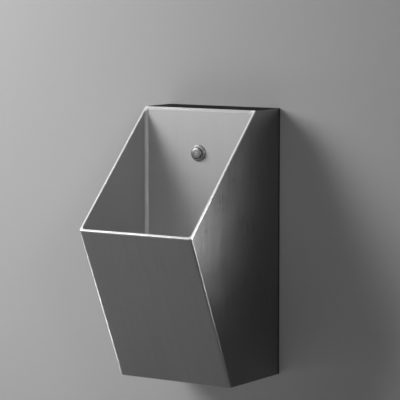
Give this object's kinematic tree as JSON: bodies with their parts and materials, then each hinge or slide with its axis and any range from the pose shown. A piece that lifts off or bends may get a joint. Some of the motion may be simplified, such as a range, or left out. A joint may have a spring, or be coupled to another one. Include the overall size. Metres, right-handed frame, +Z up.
{
  "type": "wall-hung urinal",
  "caption": "Wall-hung urinal of folded sheet steel: square casing with a slanted front, an open bowl cut at 45 degrees, a spreader in its back wall and a bottle trap behind an access panel.",
  "frame": {"origin": "on the wall plane, on the centreline, at the height of the casing's bottom edge", "axes": "+X to the right seen from the front, +Y into the wall, +Z up"},
  "size_m": [0.3, 0.407, 0.614],
  "materials": {
    "casing_steel": "vertical satin grain",
    "rim_steel": "ground and polished edge",
    "bowl_steel": "vertical satin grain",
    "plain_steel": "mill finish",
    "zinc_steel": "zinc plated",
    "chrome": "polished",
    "brass": "machined",
    "black_rubber": "matt",
    "white_plastic": "moulded",
    "grey_plastic": "extruded",
    "damping_felt": "bonded mat"
  },
  "bodies": {
    "urinal": {"outer_shell": "casing_steel", "rim_frame": "rim_steel", "bowl": "bowl_steel", "top_cover": "casing_steel", "bowl_stays": "plain_steel", "hook_rail": "plain_steel", "rear_crossbar": "plain_steel", "wall_bracket": "zinc_steel", "wall_seal": "black_rubber", "panel_hinge_leaf": "plain_steel", "panel_hinge_pin": "zinc_steel", "panel_nut_tabs": "plain_steel", "panel_weld_nuts": "zinc_steel", "spreader_body": "chrome", "spreader_cap": "chrome", "spreader_cap_screw": "zinc_steel", "spreader_gasket": "black_rubber", "spreader_washer": "zinc_steel", "spreader_lock_nut": "brass", "inlet_seal": "black_rubber", "inlet_union_nut": "brass", "inlet_pipe": "chrome", "inlet_wall_grommet": "black_rubber", "waste_body": "bowl_steel", "waste_upper_gasket": "black_rubber", "waste_lower_gasket": "black_rubber", "waste_lock_nut": "white_plastic", "trap_inlet_seal": "black_rubber", "trap_inlet_nut": "white_plastic", "trap_body": "white_plastic", "trap_dip_tube": "white_plastic", "outlet_seal": "black_rubber", "outlet_union_nut": "white_plastic", "outlet_pipe": "grey_plastic", "outlet_wall_grommet": "black_rubber", "front_damping_pad": "damping_felt", "side_damping_pads": "damping_felt", "bowl_damping_pad": "damping_felt", "earth_stud": "zinc_steel", "earth_washer": "zinc_steel", "earth_nut": "brass"},
    "lifting_strainer": {"strainer": "bowl_steel"},
    "swinging_panel": {"access_panel": "casing_steel"},
    "left_panel_screw": {"panel_screw_left": "zinc_steel"},
    "right_panel_screw": {"panel_screw_right": "zinc_steel"},
    "dropping_cup": {"trap_cup": "white_plastic", "trap_cup_seal": "black_rubber"},
    "turning_ring_nut": {"trap_ring_nut": "white_plastic"}
  },
  "joints": [
    {"name": "strainer_lift", "type": "slide", "parent": "urinal", "child": "lifting_strainer", "axis": [0, 0, 1], "range_m": [0, 0.15]},
    {"name": "access_panel_swing", "type": "hinge", "parent": "urinal", "child": "swinging_panel", "pos_m": [0, -0.0115, 0.007], "axis": [1, 0, 0], "range_deg": [0, 90]},
    {"name": "panel_screw_left_draw", "type": "slide", "parent": "swinging_panel", "child": "left_panel_screw", "axis": [0, 0, -1], "range_m": [0, 0.007]},
    {"name": "panel_screw_right_draw", "type": "slide", "parent": "swinging_panel", "child": "right_panel_screw", "axis": [0, 0, -1], "range_m": [0, 0.007]},
    {"name": "trap_cup_drop", "type": "slide", "parent": "urinal", "child": "dropping_cup", "axis": [0, 0, -1], "range_m": [0, 0.009]},
    {"name": "ring_nut_turn", "type": "hinge", "parent": "dropping_cup", "child": "turning_ring_nut", "pos_m": [0, -0.17, 0.056], "axis": [0, 0, -1], "range_deg": [0, 1080]}
  ],
  "couplings": [
    {"joint": "trap_cup_drop", "follows": "ring_nut_turn", "m_per_rad": 0.00047746}
  ]
}
